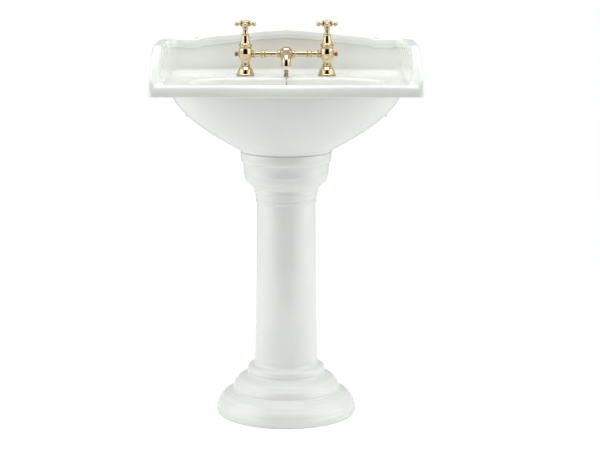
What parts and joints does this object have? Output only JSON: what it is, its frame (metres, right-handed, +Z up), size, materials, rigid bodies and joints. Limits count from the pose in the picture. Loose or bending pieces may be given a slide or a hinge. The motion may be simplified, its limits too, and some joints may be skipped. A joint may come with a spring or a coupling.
{
  "type": "pedestal sink",
  "caption": "Traditional china basin with a raised gallery on a turned pedestal, with a brass cross-handle bridge tap, plug on a chain and bottle trap",
  "frame": {"origin": "on the floor under the middle of the basin's plan", "axes": "+Z up, +Y towards the wall, -Y the front, +X to the right seen from the front"},
  "size_m": [0.635, 0.5, 0.9765],
  "materials": {
    "china": "glossy white glaze",
    "index_china": "glossy white glaze",
    "brass": "polished",
    "trap_chrome": "polished plate",
    "rubber": "moulded",
    "bedding": "soft white bedding strip"
  },
  "bodies": {
    "fixed": {"basin": "china", "chain_stay": "brass", "chain_stay_nut": "brass", "chain_stay_seal": "rubber", "cold_base_flange": "brass", "cold_bonnet": "brass", "cold_bridge_tube": "brass", "cold_bridge_union": "brass", "cold_deck_seal": "rubber", "cold_end_finial": "brass", "cold_gland_nut": "brass", "cold_gland_packing": "rubber", "cold_headwork": "brass", "cold_tap_body": "brass", "flow_straightener": "brass", "hot_base_flange": "brass", "hot_bonnet": "brass", "hot_bridge_tube": "brass", "hot_bridge_union": "brass", "hot_deck_seal": "rubber", "hot_end_finial": "brass", "hot_gland_nut": "brass", "hot_gland_packing": "rubber", "hot_headwork": "brass", "hot_tap_body": "brass", "outlet_nut": "trap_chrome", "outlet_pipe": "trap_chrome", "pedestal": "china", "plug_chain": "brass", "seat_gasket": "bedding", "spout": "brass", "tail_back_nuts": "brass", "tail_seals": "rubber", "trap_body": "trap_chrome", "trap_cup": "trap_chrome", "trap_cup_seal": "rubber", "trap_inlet_nut": "trap_chrome", "trap_inlet_seal": "rubber", "waste_back_nut": "brass", "waste_fitting": "brass", "waste_lower_seal": "rubber", "waste_top_seal": "rubber"},
    "hot_handle_body": {"hot_handle": "brass", "hot_handle_screw": "brass", "hot_index_button": "index_china", "hot_spindle": "brass"},
    "cold_handle_body": {"cold_handle": "brass", "cold_handle_screw": "brass", "cold_index_button": "index_china", "cold_spindle": "brass"},
    "hot_jumper_body": {"hot_jumper": "brass", "hot_tap_washer": "rubber"},
    "cold_jumper_body": {"cold_jumper": "brass", "cold_tap_washer": "rubber"},
    "plug_body": {"plug": "rubber", "plug_cap": "brass"}
  },
  "joints": [
    {"name": "hot_handle_turn", "type": "hinge", "parent": "fixed", "child": "hot_handle_body", "pos_m": [-0.102, 0.145, 0.96], "axis": [0, 0, 1], "range_deg": [0, 540]},
    {"name": "hot_jumper_lift", "type": "slide", "parent": "fixed", "child": "hot_jumper_body", "axis": [0, 0, 1], "range_m": [0, 0.003]},
    {"name": "cold_handle_turn", "type": "hinge", "parent": "fixed", "child": "cold_handle_body", "pos_m": [0.102, 0.145, 0.96], "axis": [0, 0, 1], "range_deg": [0, 540]},
    {"name": "cold_jumper_lift", "type": "slide", "parent": "fixed", "child": "cold_jumper_body", "axis": [0, 0, 1], "range_m": [0, 0.003]},
    {"name": "plug_lift", "type": "slide", "parent": "fixed", "child": "plug_body", "axis": [0, 0, 1], "range_m": [0, 0.06], "deforming": ["plug_chain"]}
  ],
  "couplings": [
    {"joint": "hot_handle_turn", "follows": "hot_jumper_lift", "rad_per_m": 3141.6},
    {"joint": "cold_handle_turn", "follows": "cold_jumper_lift", "rad_per_m": 3141.6}
  ]
}
